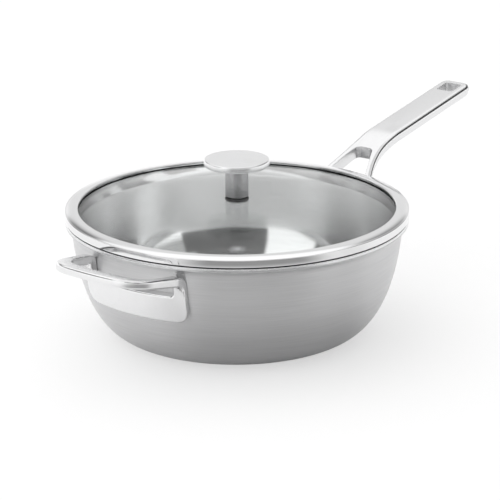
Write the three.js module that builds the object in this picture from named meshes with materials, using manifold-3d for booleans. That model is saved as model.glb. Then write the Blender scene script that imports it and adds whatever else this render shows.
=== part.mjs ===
// Saute pan with a domed glass lid, in millimetres with +Z up.
// The origin is the middle of the flat that the pan stands on, and +X runs along the long handle.
import * as THREE from "three";
import { mergeVertices } from "three/addons/utils/BufferGeometryUtils.js";
import Module from "manifold-3d";

const wasm = await Module();
wasm.setup();

// Pan body: three bonded layers with one outline
const PAN_HEIGHT = 88.6; // floor to the top of the lip
const BASE_RADIUS = 79.3; // the flat underneath
const BASE_CURVE = 23; // how far the base runs on before it turns up
const WALL_CURVE = 50.6; // how far the wall comes down before it turns in
const WALL_RADIUS = 124.3; // outside, just under the lip
const WALL_TAPER = 5.4; // degrees from upright, just under the lip
const LIP_DEPTH = 9.6; // lip height, from the wall's end to the top
const LIP_WIDTH = 4.9; // how far the flared lip stands out from the wall
const LIP_FLARE = 55; // degrees from upright at the lip's edge
const LIP_BEND = 3.1; // how softly the wall turns into the lip
const OUTER_LAYER = 0.6; // magnetic steel
const CORE_LAYER = 1.6; // aluminium
const INNER_LAYER = 0.5; // cooking surface
const BOND = 0.02; // between two layers

// Weld plates that carry both handles on the wall
const WELD_GAP = 0.3; // wall to plate
const PLATE_THICKNESS = 5.2;
const PLATE_DROP = 44; // top of the lip to the plates' lower edge
const PLATE_CORNER = 10; // radius of the lower corners

// Long handle
const HANDLE_LENGTH = 176; // wall to tip
const HANDLE_SLOPE = 9.9; // degrees above level along the grip
const HANDLE_DROP = 14.4; // top of the lip to the handle's top face at the wall
const HANDLE_WIDTH = 28.6;
const HANDLE_THICKNESS = 8.4;
const HANDLE_EDGE = 2.2; // edge radius of the grip
const GRIP_DRAFT = 0.8; // what each side draws in towards the underside
const LEG_DRAFT = 3; // the same at the wall
const TIP_CORNER = 8; // plan radius of the tip's corners
const NECK_LENGTH = 69.2; // wall to where the grip runs straight
const NECK_RISE = 26.3; // what the neck climbs above the grip's slope
const FORK_LENGTH = 53.6; // wall to where the sides start to spread
const FORK_SPREAD = 20; // what each side gains at the wall
const FORK_GAP_LENGTH = 41.8; // wall to the end of the opening between the legs
const FORK_GAP_TIP = 14.6; // opening width at its narrow end
const FORK_GAP_ROOT = 48; // opening width at the wall
const FORK_GAP_CORNER = 3.5;
const ROOT_SINK = 16; // how far the raw legs run into the wall before they are cut off
const FORK_PLATE_WIDTH = 92;
const FORK_PLATE_DROP = 21.5; // top of the lip to the plate's upper edge
const FORK_PLATE_CORNER = 4; // radius of the upper corners
const HANG_HOLE_LENGTH = 15.4;
const HANG_HOLE_WIDTH = 15;
const HANG_HOLE_MARGIN = 6.2; // hole to tip
const HANG_HOLE_CORNER = 2.2;

// Helper handle: a loop that is bent down into its weld plate
const LOOP_REACH = 47; // wall to the outside of the bar
const LOOP_WIDTH = 91; // over both arms at the wall
const LOOP_TILT = 9.8; // degrees above level
const LOOP_DROP = 7.35; // top of the lip to the arms' top face at the wall
const LOOP_THICKNESS = 7.3; // plate and arms
const BAR_THICKNESS = 6;
const LOOP_EDGE = 1.7; // edge radius of the section
const LOOP_BEND = 8.4; // middle radius of the bend from arm to plate
const LOOP_CORNER = 19; // outside corners
const FINGER_CORNER = 12; // inside corners
const ARM_WIDTH = 7.7;
const ARM_LEAN = 5.2; // degrees that each arm leans in
const BAR_WIDTH = 13.4;
const BAR_BOW = 5; // how far the bar's middle stands out
const NOTCH_DROP = 23; // top of the lip to the plate's edge between the arms
const NOTCH_CORNER = 4;

// Lid
const SEAT_GAP = 0.1; // above and below the seat ring
const SEAT_RING = 0.9; // thickness
const SEAT_RING_INSET = 0.9; // rim to the ring's outside
const RIM_OVERHANG = 0.3; // rim beyond the lip
const RIM_WIDTH = 10; // seen from above
const RIM_RISE = 1.55; // inner edge above the outer edge
const RIM_SHEET = 1;
const RIM_FLANGE = 1.2; // ledge under the glass
const RIM_BEAD = 3.5; // rolled outer edge
const RIM_EDGE = 0.5;
const SKIRT_DEPTH = 8; // how far the rim reaches down into the pan
const SKIRT_CLEARANCE = 1.2; // skirt to the pan's inner wall
const RING_PLAY = 0.6; // skirt to the seat ring
const GASKET = 0.45; // over and under the glass edge
const GASKET_WEB = 0.8; // round the glass edge
const GASKET_INSET = 0.8; // hidden behind the rim's inner edge
const GLASS_THICKNESS = 4;
const GLASS_DOME = 8.3;
const GLASS_FLANGE = 6.7; // flat edge outside the dome
const GLASS_HOLE = 5; // radius

// Knob and its fixing
const KNOB_HEIGHT = 28.85; // glass to the top of the cap
const KNOB_RADIUS = 24.65;
const KNOB_CAP = 4.8; // thickness
const KNOB_CAP_EDGE = 1.1;
const STEM_RADIUS = 8.7;
const STEM_EDGE = 0.6;
const SPIGOT_RADIUS = 5;
const SPIGOT_HEIGHT = 2;
const SPIGOT_PLAY = 0.1;
const WASHER_THICKNESS = 0.8; // silicone, above and below the glass
const WASHER_OVERHANG = 0.5; // beyond the stem
const SCREW_RADIUS = 2.5;
const SCREW_PLAY = 0.15;
const SCREW_GRIP = 11; // length inside the stem
const SCREW_HEAD_RADIUS = 5;
const SCREW_HEAD = 3;
const BUSH_PLAY = 0.1; // bush to glass
const STEEL_WASHER_RADIUS = 8;
const STEEL_WASHER = 1;

// Facets
const ROUND_SEGMENTS = 72;
const SMALL_SEGMENTS = 32;
const WALL_STEPS = 8;
const LIP_STEPS = 3;
const DOME_STEPS = 5;
const NECK_STEPS = 20;
const TIP_STEPS = 7;
const PLATE_STEPS = 4;
const FOOT_STEPS = 4;
const SIDE_STEPS = 12;
const LOOP_CORNER_STEPS = 6;
const BAR_STEPS = 4;
const CORNER_STEPS = 4;
const HALVINGS = 30; // when the wall's radius is searched for
const MERGE_TOLERANCE = 1e-4;

const { clamp, lerp, smoothstep } = THREE.MathUtils;
const rad = THREE.MathUtils.degToRad;
const v2 = (x, y) => new THREE.Vector2(x, y);
const v3 = (x, y, z) => new THREE.Vector3(x, y, z);
const coreFrom = OUTER_LAYER + BOND;
const coreTo = coreFrom + CORE_LAYER;
const innerFrom = coreTo + BOND;
const panWall = innerFrom + INNER_LAYER;
const wallTop = PAN_HEIGHT - LIP_DEPTH;
const lipRadius = WALL_RADIUS + LIP_WIDTH;
const cutReach = WALL_RADIUS + HANDLE_LENGTH; // cutting prisms reach past every piece

const STEEL = { color: 0xc9cacb, metalness: 1 };
const finish = {
  brushed: new THREE.MeshStandardMaterial({ ...STEEL, roughness: 0.38 }),
  satin: new THREE.MeshStandardMaterial({ ...STEEL, roughness: 0.3 }),
  polished: new THREE.MeshStandardMaterial({ ...STEEL, roughness: 0.12 }),
  aluminium: new THREE.MeshStandardMaterial({ color: 0xbfc1c2, metalness: 1, roughness: 0.45 }),
  silicone: new THREE.MeshStandardMaterial({ color: 0x3a3b3d, metalness: 0, roughness: 0.7 }),
  glass: new THREE.MeshStandardMaterial({
    color: 0xeef3f2,
    metalness: 0,
    roughness: 0.04,
    transparent: true,
    opacity: 0.3,
  }),
};

const pan = new THREE.Group();

function addPart(name, geometry, material) {
  const mesh = new THREE.Mesh(geometry, material.clone());
  mesh.name = name;
  pan.add(mesh);
}

// Solid of revolution about Z from (radius, height) points that run counter-clockwise
function turned(points, segments) {
  const profile = points.map(([radius, height]) => v2(radius, height));
  const onAxis = profile[0].x === 0 && profile.at(-1).x === 0;
  if (!onAxis) profile.push(profile[0].clone());
  return new THREE.LatheGeometry(profile, segments).rotateX(Math.PI / 2);
}

function toSolid(geometry) {
  const triangles = geometry.index ? geometry.toNonIndexed() : geometry;
  const bare = new THREE.BufferGeometry();
  bare.setAttribute("position", triangles.getAttribute("position"));
  const merged = mergeVertices(bare, MERGE_TOLERANCE);
  const mesh = new wasm.Mesh({
    numProp: 3,
    vertProperties: merged.attributes.position.array,
    triVerts: new Uint32Array(merged.index.array),
  });
  return new wasm.Manifold(mesh);
}

function toGeometry(solid) {
  const mesh = solid.getMesh();
  const geometry = new THREE.BufferGeometry();
  geometry.setAttribute("position", new THREE.BufferAttribute(mesh.vertProperties, 3));
  geometry.setIndex(new THREE.BufferAttribute(mesh.triVerts, 1));
  return geometry;
}

// Skin over rings of points, each ring counter-clockwise as seen from the ones after it.
// An endless loft joins its last ring to its first, and any other is closed by flat ends.
function loft(rings, endless) {
  const count = rings[0].length;
  const positions = rings.flat().flatMap((point) => point.toArray());
  const faces = [];
  const last = (rings.length - 1) * count;
  const spans = endless ? rings.length : rings.length - 1;
  for (let i = 0; i < spans; i++) {
    const here = i * count;
    const next = ((i + 1) % rings.length) * count;
    for (let j = 0; j < count; j++) {
      const k = (j + 1) % count;
      faces.push(here + j, here + k, next + k, here + j, next + k, next + j);
    }
  }
  for (let j = 1; j + 1 < count && !endless; j++) {
    faces.push(0, j + 1, j);
    faces.push(last, last + j, last + j + 1);
  }
  const geometry = new THREE.BufferGeometry();
  geometry.setAttribute("position", new THREE.Float32BufferAttribute(positions, 3));
  geometry.setIndex(faces);
  return geometry;
}

// Rectangle with rounded corners as counter-clockwise (u, v) points around its middle
function roundedSection(width, height, radius) {
  const r = Math.min(radius, width / 2 - MERGE_TOLERANCE, height / 2 - MERGE_TOLERANCE);
  const points = [];
  for (let corner = 0; corner < 4; corner++) {
    const signU = corner === 0 || corner === 3 ? 1 : -1;
    const signV = corner < 2 ? 1 : -1;
    for (let step = 0; step < CORNER_STEPS; step++) {
      const angle = (Math.PI / 2) * (corner + step / (CORNER_STEPS - 1));
      const u = signU * (width / 2 - r) + r * Math.cos(angle);
      const v = signV * (height / 2 - r) + r * Math.sin(angle);
      points.push(v2(u, v));
    }
  }
  return points;
}

// Outline through corner points, each corner rounded by its own radius
function roundedOutline(corners) {
  const shape = new THREE.Shape();
  corners.forEach(([x, y, radius], i) => {
    const here = v2(x, y);
    const before = v2(...corners.at(i - 1)).sub(here).setLength(radius).add(here);
    const after = v2(...corners[(i + 1) % corners.length]).sub(here).setLength(radius).add(here);
    if (i === 0) shape.moveTo(before.x, before.y);
    else shape.lineTo(before.x, before.y);
    shape.quadraticCurveTo(here.x, here.y, after.x, after.y);
  });
  shape.closePath();
  return shape;
}

// Upright prism over an (x, y) outline
function uprightPrism(shape) {
  const settings = { depth: 2 * cutReach, bevelEnabled: false, curveSegments: CORNER_STEPS };
  return new THREE.ExtrudeGeometry(shape, settings).translate(0, 0, -cutReach);
}

// Prism from the axis outwards along +X over a (y, z) outline
function outwardPrism(shape) {
  const settings = { depth: cutReach, bevelEnabled: false, curveSegments: CORNER_STEPS };
  const prism = new THREE.ExtrudeGeometry(shape, settings);
  return prism.rotateX(Math.PI / 2).rotateZ(Math.PI / 2);
}

// Pan outline: flat base, one curve up the wall, one curve out along the lip
function panCurves() {
  const taper = v2(Math.sin(rad(WALL_TAPER)), Math.cos(rad(WALL_TAPER)));
  const flare = v2(Math.sin(rad(LIP_FLARE)), Math.cos(rad(LIP_FLARE)));
  const baseEdge = v2(BASE_RADIUS, 0);
  const wallEnd = v2(WALL_RADIUS, wallTop);
  const lipEnd = v2(lipRadius, PAN_HEIGHT - panWall * flare.x);
  const wall = new THREE.CubicBezierCurve(
    baseEdge,
    v2(BASE_RADIUS + BASE_CURVE, 0),
    wallEnd.clone().addScaledVector(taper, -WALL_CURVE),
    wallEnd,
  );
  const lip = new THREE.CubicBezierCurve(
    wallEnd,
    wallEnd.clone().addScaledVector(taper, LIP_BEND),
    lipEnd.clone().addScaledVector(flare, -LIP_BEND),
    lipEnd,
  );
  return { wall, lip };
}

// The pan's outline moved inwards by a depth, or outwards by a negative one
function panOutline(depth) {
  const { wall, lip } = panCurves();
  const outline = [[0, depth]];
  const follow = (curve, from, steps) => {
    for (let i = from; i <= steps; i++) {
      const point = curve.getPoint(i / steps);
      const along = curve.getTangent(i / steps);
      outline.push([point.x - along.y * depth, point.y + along.x * depth]);
    }
  };
  follow(wall, 0, WALL_STEPS);
  follow(lip, 1, LIP_STEPS);
  return outline;
}

function panLayer(outerDepth, innerDepth) {
  const points = [...panOutline(outerDepth), ...panOutline(innerDepth).reverse()];
  return turned(points, ROUND_SEGMENTS);
}

// Everything inside the pan's outside, grown by a margin, up to the top of the lip
function panEnvelope(margin) {
  const outline = panOutline(-margin);
  const points = [...outline, [0, outline.at(-1)[1]]];
  return toSolid(turned(points, ROUND_SEGMENTS));
}

addPart("pan_outer_layer", panLayer(0, OUTER_LAYER), finish.brushed);
addPart("pan_core", panLayer(coreFrom, coreTo), finish.aluminium);
addPart("pan_inner_layer", panLayer(innerFrom, panWall), finish.brushed);

// Weld plate on the +X side, still with the wall's own space inside it
function weldPlate(outline) {
  const grown = panEnvelope(WELD_GAP + PLATE_THICKNESS);
  return grown.intersect(toSolid(outwardPrism(outline)));
}

const clearOfWall = (solid) => solid.subtract(panEnvelope(WELD_GAP));

// Height of the long handle's top face above the floor, at x
function handleTop(x) {
  const fromWall = x - WALL_RADIUS;
  const neckLeft = Math.max(0, 1 - fromWall / NECK_LENGTH);
  const grip = PAN_HEIGHT - HANDLE_DROP + fromWall * Math.tan(rad(HANDLE_SLOPE));
  return grip + NECK_RISE * (1 - neckLeft ** 2);
}

// Half the long handle's width at x, with the fork's spread and the tip's round corners
function handleHalfWidth(x) {
  const fromWall = x - WALL_RADIUS;
  const spread = FORK_SPREAD * Math.max(0, 1 - fromWall / FORK_LENGTH) ** 2;
  const intoTip = Math.max(0, fromWall - (HANDLE_LENGTH - TIP_CORNER));
  const tipRound = TIP_CORNER - Math.sqrt(TIP_CORNER ** 2 - Math.min(intoTip, TIP_CORNER) ** 2);
  return HANDLE_WIDTH / 2 + spread - tipRound;
}

// Upright section at x, with sides that draw in towards the underside
function handleRing(x) {
  const step = 0.01;
  const slope = Math.atan((handleTop(x + step) - handleTop(x - step)) / (2 * step));
  const height = HANDLE_THICKNESS / Math.cos(slope);
  const middle = handleTop(x) - height / 2;
  const forkShare = clamp(1 - (x - WALL_RADIUS) / FORK_LENGTH, 0, 1);
  const draft = lerp(GRIP_DRAFT, LEG_DRAFT, forkShare);
  const section = roundedSection(2 * handleHalfWidth(x), height, HANDLE_EDGE);
  return section.map(({ x: across, y: up }) => {
    const drawnIn = draft * (1 / 2 - up / height);
    return v3(x, across - Math.sign(across) * drawnIn, middle + up);
  });
}

function handleBar() {
  const inside = WALL_RADIUS - ROOT_SINK;
  const tip = WALL_RADIUS + HANDLE_LENGTH;
  const straightFrom = WALL_RADIUS + NECK_LENGTH;
  const stations = [];
  for (let i = 0; i <= NECK_STEPS; i++) {
    stations.push(lerp(inside, straightFrom, i / NECK_STEPS));
  }
  for (let i = 0; i <= TIP_STEPS; i++) {
    const turn = (Math.PI / 2) * (i / TIP_STEPS);
    stations.push(tip - TIP_CORNER + TIP_CORNER * Math.sin(turn));
  }
  return toSolid(loft(stations.map(handleRing), false));
}

function forkOpening() {
  const end = WALL_RADIUS + FORK_GAP_LENGTH;
  const widening = (FORK_GAP_ROOT - FORK_GAP_TIP) / FORK_GAP_LENGTH;
  const tipHalf = FORK_GAP_TIP / 2;
  const innerHalf = tipHalf + (widening * end) / 2;
  return roundedOutline([
    [0, -innerHalf, 0],
    [end, -tipHalf, FORK_GAP_CORNER],
    [end, tipHalf, FORK_GAP_CORNER],
    [0, innerHalf, 0],
  ]);
}

function hangHole() {
  const far = WALL_RADIUS + HANDLE_LENGTH - HANG_HOLE_MARGIN;
  const near = far - HANG_HOLE_LENGTH;
  const half = HANG_HOLE_WIDTH / 2;
  return roundedOutline([
    [near, -half, HANG_HOLE_CORNER],
    [far, -half, HANG_HOLE_CORNER],
    [far, half, HANG_HOLE_CORNER],
    [near, half, HANG_HOLE_CORNER],
  ]);
}

function longHandle() {
  const half = FORK_PLATE_WIDTH / 2;
  const top = PAN_HEIGHT - FORK_PLATE_DROP;
  const bottom = PAN_HEIGHT - PLATE_DROP;
  const plate = weldPlate(
    roundedOutline([
      [-half, bottom, PLATE_CORNER],
      [half, bottom, PLATE_CORNER],
      [half, top, FORK_PLATE_CORNER],
      [-half, top, FORK_PLATE_CORNER],
    ]),
  );
  const fork = handleBar()
    .subtract(toSolid(uprightPrism(forkOpening())))
    .subtract(toSolid(uprightPrism(hangHole())));
  return clearOfWall(fork.add(plate));
}

addPart("long_handle", toGeometry(longHandle()), finish.satin);

// Helper handle, made on the +X side like the long one and then turned to the far side.
// Its outlines are drawn on the flat bar before bending, as (across, along): along is 0 where
// the bend starts, negative down the plate and positive round the bend and out along the loop.
const loopTilt = rad(LOOP_TILT);
const bendAngle = Math.PI / 2 - loopTilt;
const bendLength = LOOP_BEND * bendAngle;
const barDepth = WELD_GAP + PLATE_THICKNESS - LOOP_THICKNESS / 2; // wall to the bar's middle
const armMiddle = (LOOP_WIDTH - ARM_WIDTH) / 2;

// Outside radius of the pan's wall at a height
function wallRadiusAt(height) {
  const { wall } = panCurves();
  let low = 0;
  let high = 1;
  for (let i = 0; i < HALVINGS; i++) {
    const middle = (low + high) / 2;
    if (wall.getPoint(middle).y < height) low = middle;
    else high = middle;
  }
  return wall.getPoint(low).x;
}

// Distance from the pan's axis plane to the bar's middle, where it follows the wall
function barReach(height, across) {
  return Math.sqrt((wallRadiusAt(height) + barDepth) ** 2 - across ** 2);
}

// Where the bend starts and ends, from the height of the arms at the wall
function bendPlaces() {
  const armHeight = PAN_HEIGHT - LOOP_DROP - LOOP_THICKNESS / 2 / Math.cos(loopTilt);
  const endX = barReach(armHeight, armMiddle) + LOOP_BEND * (1 - Math.cos(bendAngle));
  const endZ = armHeight + (endX - WALL_RADIUS) * Math.tan(loopTilt);
  return { endX, startZ: endZ - LOOP_BEND * Math.sin(bendAngle) };
}

const bend = bendPlaces();
const alongAtX = (x) => bendLength + (x - bend.endX) / Math.cos(loopTilt);
const alongAtZ = (z) => z - bend.startZ;

// Point on the middle of the bent bar
function bentPoint(across, along) {
  const turn = clamp(along / LOOP_BEND, 0, bendAngle);
  const out = Math.max(along - bendLength, 0);
  const height = bend.startZ + Math.min(along, 0);
  const flattened = lerp(Math.abs(across), armMiddle, smoothstep(turn, 0, bendAngle));
  return v3(
    barReach(height, flattened) + LOOP_BEND * (1 - Math.cos(turn)) + out * Math.cos(loopTilt),
    across,
    height + LOOP_BEND * Math.sin(turn) + out * Math.sin(loopTilt),
  );
}

// One half of an outline, from the middle of the plate's edge to the middle of the bar
function halfOutline({ half, from, to, foot, corner }) {
  const lean = Math.tan(rad(ARM_LEAN));
  const sideAt = (along) => half - lean * Math.max(0, along - bendLength);
  const cornerAlong = to - BAR_BOW;
  const cornerAcross = sideAt(cornerAlong);
  const sideEnd = cornerAlong - corner;
  const frontStart = cornerAcross - corner;
  const frontAt = (across) => v2(across, to - BAR_BOW * (across / cornerAcross) ** 2);
  const footCurve = new THREE.QuadraticBezierCurve(
    v2(half - foot, from),
    v2(half, from),
    v2(half, from + foot),
  );
  const cornerCurve = new THREE.QuadraticBezierCurve(
    v2(sideAt(sideEnd), sideEnd),
    v2(cornerAcross, cornerAlong),
    frontAt(frontStart),
  );
  const shares = (steps) => Array.from({ length: steps }, (_, i) => i / steps);
  const side = (share) => lerp(from + foot, sideEnd, share);
  return [
    ...shares(PLATE_STEPS).map((share) => v2((half - foot) * share, from)),
    ...shares(FOOT_STEPS).map((share) => footCurve.getPoint(share)),
    ...shares(SIDE_STEPS).map((share) => v2(sideAt(side(share)), side(share))),
    ...shares(LOOP_CORNER_STEPS).map((share) => cornerCurve.getPoint(share)),
    ...shares(BAR_STEPS).map((share) => frontAt(frontStart * (1 - share))),
    frontAt(0),
  ];
}

// Section of the bent bar between a point of the inside outline and one of the outside
function barRing(inside, outside) {
  const nudge = 0.01;
  const middle = inside.clone().add(outside).divideScalar(2);
  const point = bentPoint(middle.x, middle.y);
  const acrossDirection = bentPoint(middle.x + nudge, middle.y).sub(point);
  const alongDirection = bentPoint(middle.x, middle.y + nudge).sub(point);
  const up = alongDirection.cross(acrossDirection).normalize();
  const side = bentPoint(outside.x, outside.y).sub(bentPoint(inside.x, inside.y));
  const barShare = smoothstep(middle.y, bendLength, alongAtX(WALL_RADIUS + LOOP_REACH - BAR_WIDTH));
  const thickness = lerp(LOOP_THICKNESS, BAR_THICKNESS, barShare);
  const section = roundedSection(side.length(), thickness, LOOP_EDGE);
  side.normalize();
  return section.map(({ x, y }) => point.clone().addScaledVector(side, x).addScaledVector(up, y));
}

function helperHandle() {
  const half = LOOP_WIDTH / 2;
  const barOutside = WALL_RADIUS + LOOP_REACH;
  const outside = halfOutline({
    half,
    from: alongAtZ(PAN_HEIGHT - PLATE_DROP),
    to: alongAtX(barOutside),
    foot: PLATE_CORNER,
    corner: LOOP_CORNER,
  });
  const inside = halfOutline({
    half: half - ARM_WIDTH,
    from: alongAtZ(PAN_HEIGHT - NOTCH_DROP),
    to: alongAtX(barOutside - BAR_WIDTH),
    foot: NOTCH_CORNER,
    corner: FINGER_CORNER,
  });
  const mirror = (point) => v2(-point.x, point.y);
  const near = inside.map((point, i) => barRing(point, outside[i]));
  const far = inside.map((point, i) => barRing(mirror(point), mirror(outside[i])));
  const rings = [...near, ...far.slice(1, -1).reverse()];
  return clearOfWall(toSolid(loft(rings, true)));
}

addPart("helper_handle", toGeometry(helperHandle()).rotateZ(Math.PI), finish.satin);

// Lid heights, built up from the lip
const ringBottom = PAN_HEIGHT + SEAT_GAP;
const rimBottom = ringBottom + SEAT_RING + SEAT_GAP;
const channelFloor = rimBottom + RIM_FLANGE;
const glassBottom = channelFloor + GASKET;
const glassTop = glassBottom + GLASS_THICKNESS;
const channelTop = glassTop + GASKET;
const rimTop = channelTop + RIM_SHEET;
const rimCrease = rimTop - RIM_RISE;

// Lid radii, built in from the rim, which follows the lip, and from the pan's inner wall
const rimRadius = lipRadius + RIM_OVERHANG;
const rimInner = rimRadius - RIM_WIDTH;
const channelOuter = rimRadius - RIM_BEAD;
const glassRadius = channelOuter - GASKET_WEB;
const domeRadius = glassRadius - GLASS_FLANGE;
const skirtOuter = WALL_RADIUS - panWall - SKIRT_CLEARANCE;
const skirtInner = skirtOuter - RIM_SHEET;
const skirtBottom = rimBottom - SKIRT_DEPTH;
const washerRadius = STEM_RADIUS + WASHER_OVERHANG;

function lidRim() {
  const crown = new THREE.QuadraticBezierCurve(
    v2(rimRadius - RIM_EDGE, rimCrease),
    v2(rimRadius - RIM_BEAD, rimTop),
    v2(rimInner, rimTop),
  );
  const crownPoints = crown.getPoints(CORNER_STEPS).map((point) => [point.x, point.y]);
  return turned(
    [
      [skirtInner, skirtBottom],
      [skirtOuter, skirtBottom],
      [skirtOuter, rimBottom],
      [rimRadius - RIM_EDGE, rimBottom],
      [rimRadius, rimBottom + RIM_EDGE],
      [rimRadius, rimCrease - RIM_EDGE],
      ...crownPoints,
      [rimInner, channelTop],
      [channelOuter, channelTop],
      [channelOuter, channelFloor],
      [skirtInner, channelFloor],
    ],
    ROUND_SEGMENTS,
  );
}

function lidGasket() {
  const inner = rimInner + GASKET_INSET;
  return turned(
    [
      [inner, channelFloor],
      [channelOuter, channelFloor],
      [channelOuter, channelTop],
      [inner, channelTop],
      [inner, glassTop],
      [glassRadius, glassTop],
      [glassRadius, glassBottom],
      [inner, glassBottom],
    ],
    ROUND_SEGMENTS,
  );
}

// The dome is flat under the knob's washers
function lidGlass() {
  const underside = [[GLASS_HOLE, glassBottom + GLASS_DOME]];
  for (let i = 0; i <= DOME_STEPS; i++) {
    const share = i / DOME_STEPS;
    const radius = lerp(washerRadius, domeRadius, share);
    underside.push([radius, glassBottom + GLASS_DOME * (1 - share ** 2)]);
  }
  underside.push([glassRadius, glassBottom]);
  const upper = underside.map(([radius, height]) => [radius, height + GLASS_THICKNESS]);
  return turned([...underside, ...upper.reverse()], ROUND_SEGMENTS);
}

function seatRing() {
  const inner = skirtOuter + RING_PLAY;
  const outer = rimRadius - SEAT_RING_INSET;
  return turned(
    [
      [inner, ringBottom],
      [outer, ringBottom],
      [outer, ringBottom + SEAT_RING],
      [inner, ringBottom + SEAT_RING],
    ],
    ROUND_SEGMENTS,
  );
}

addPart("lid_rim", lidRim(), finish.polished);
addPart("lid_gasket", lidGasket(), finish.silicone);
addPart("lid_glass", lidGlass(), finish.glass);
addPart("lid_seat_ring", seatRing(), finish.silicone);

// Knob heights, up and down from the middle of the glass
const domeTop = glassTop + GLASS_DOME;
const stemBottom = domeTop + WASHER_THICKNESS;
const capTop = domeTop + KNOB_HEIGHT;
const capBottom = capTop - KNOB_CAP;
const lowerSeat = glassBottom + GLASS_DOME;
const steelWasherTop = lowerSeat - WASHER_THICKNESS;
const headTop = steelWasherTop - STEEL_WASHER;
const screwHole = SCREW_RADIUS + SCREW_PLAY;

function ring(inner, outer, bottom, height) {
  const top = bottom + height;
  return turned(
    [
      [inner, bottom],
      [outer, bottom],
      [outer, top],
      [inner, top],
    ],
    SMALL_SEGMENTS,
  );
}

function knobCap() {
  const socket = SPIGOT_RADIUS + SPIGOT_PLAY;
  const socketTop = capBottom + SPIGOT_HEIGHT + SPIGOT_PLAY;
  return turned(
    [
      [0, socketTop],
      [socket, socketTop],
      [socket, capBottom],
      [KNOB_RADIUS - KNOB_CAP_EDGE, capBottom],
      [KNOB_RADIUS, capBottom + KNOB_CAP_EDGE],
      [KNOB_RADIUS, capTop - KNOB_CAP_EDGE],
      [KNOB_RADIUS - KNOB_CAP_EDGE, capTop],
      [0, capTop],
    ],
    ROUND_SEGMENTS,
  );
}

function knobStem() {
  const holeTop = stemBottom + SCREW_GRIP + SCREW_PLAY;
  return turned(
    [
      [0, holeTop],
      [screwHole, holeTop],
      [screwHole, stemBottom],
      [STEM_RADIUS - STEM_EDGE, stemBottom],
      [STEM_RADIUS, stemBottom + STEM_EDGE],
      [STEM_RADIUS, capBottom],
      [SPIGOT_RADIUS, capBottom],
      [SPIGOT_RADIUS, capBottom + SPIGOT_HEIGHT],
      [0, capBottom + SPIGOT_HEIGHT],
    ],
    SMALL_SEGMENTS,
  );
}

function knobScrew() {
  const headBottom = headTop - SCREW_HEAD;
  return turned(
    [
      [0, headBottom],
      [SCREW_HEAD_RADIUS / 2, headBottom],
      [SCREW_HEAD_RADIUS, headTop - SCREW_HEAD / 2],
      [SCREW_HEAD_RADIUS, headTop],
      [SCREW_RADIUS, headTop],
      [SCREW_RADIUS, stemBottom + SCREW_GRIP],
      [0, stemBottom + SCREW_GRIP],
    ],
    SMALL_SEGMENTS,
  );
}

const bushRadius = GLASS_HOLE - BUSH_PLAY;
const steelWasher = ring(screwHole, STEEL_WASHER_RADIUS, headTop, STEEL_WASHER);
addPart("knob_cap", knobCap(), finish.satin);
addPart("knob_stem", knobStem(), finish.polished);
addPart("knob_upper_washer", ring(screwHole, washerRadius, domeTop, WASHER_THICKNESS), finish.silicone);
addPart("knob_bush", ring(screwHole, bushRadius, lowerSeat, domeTop - lowerSeat), finish.silicone);
addPart(
  "knob_lower_washer",
  ring(screwHole, washerRadius, steelWasherTop, WASHER_THICKNESS),
  finish.silicone,
);
addPart("knob_steel_washer", steelWasher, finish.polished);
addPart("knob_screw", knobScrew(), finish.polished);

export default pan;
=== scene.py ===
import math

import bpy
import numpy as np
from mathutils import Matrix, Vector
from mathutils.geometry import delaunay_2d_cdt

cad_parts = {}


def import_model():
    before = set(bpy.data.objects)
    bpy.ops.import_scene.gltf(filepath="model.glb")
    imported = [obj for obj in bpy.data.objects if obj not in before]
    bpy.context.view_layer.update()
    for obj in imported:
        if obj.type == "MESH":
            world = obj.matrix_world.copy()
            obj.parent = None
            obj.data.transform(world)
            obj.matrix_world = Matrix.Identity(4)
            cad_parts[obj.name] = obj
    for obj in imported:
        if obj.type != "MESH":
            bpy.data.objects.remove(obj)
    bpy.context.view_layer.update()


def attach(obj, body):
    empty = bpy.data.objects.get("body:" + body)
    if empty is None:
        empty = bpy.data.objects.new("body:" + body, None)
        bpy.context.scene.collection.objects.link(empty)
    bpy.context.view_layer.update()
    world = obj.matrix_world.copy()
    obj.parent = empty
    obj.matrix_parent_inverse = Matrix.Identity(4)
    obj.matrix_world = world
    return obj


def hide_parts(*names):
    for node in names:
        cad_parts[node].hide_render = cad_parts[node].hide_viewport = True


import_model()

scene = bpy.context.scene
MM = 0.001

# Sizes that the solids have too, in millimetres
PAN_HEIGHT = 88.6  # floor to the top of the lip
BASE_RADIUS = 79.3  # the flat underneath
BASE_CURVE = 23  # how far the base runs on before it turns up
WALL_CURVE = 50.6  # how far the wall comes down before it turns in
WALL_RADIUS = 124.3  # outside, just under the lip
WALL_TAPER = math.radians(5.4)  # from upright, just under the lip
LIP_DEPTH = 9.6  # lip height, from the wall's end to the top
LIP_WIDTH = 4.9  # how far the flared lip stands out from the wall
LIP_BEND = 3.1  # how softly the wall turns into the lip
OUTER_LAYER = 0.6  # magnetic steel
CORE_LAYER = 1.6  # aluminium
INNER_LAYER = 0.5  # cooking surface
BOND = 0.02  # between two layers
WELD_GAP = 0.3  # wall to plate
PLATE_THICKNESS = 5.2
PLATE_DROP = 44  # top of the lip to the plates' lower edge
PLATE_CORNER = 10  # radius of the lower corners

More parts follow.
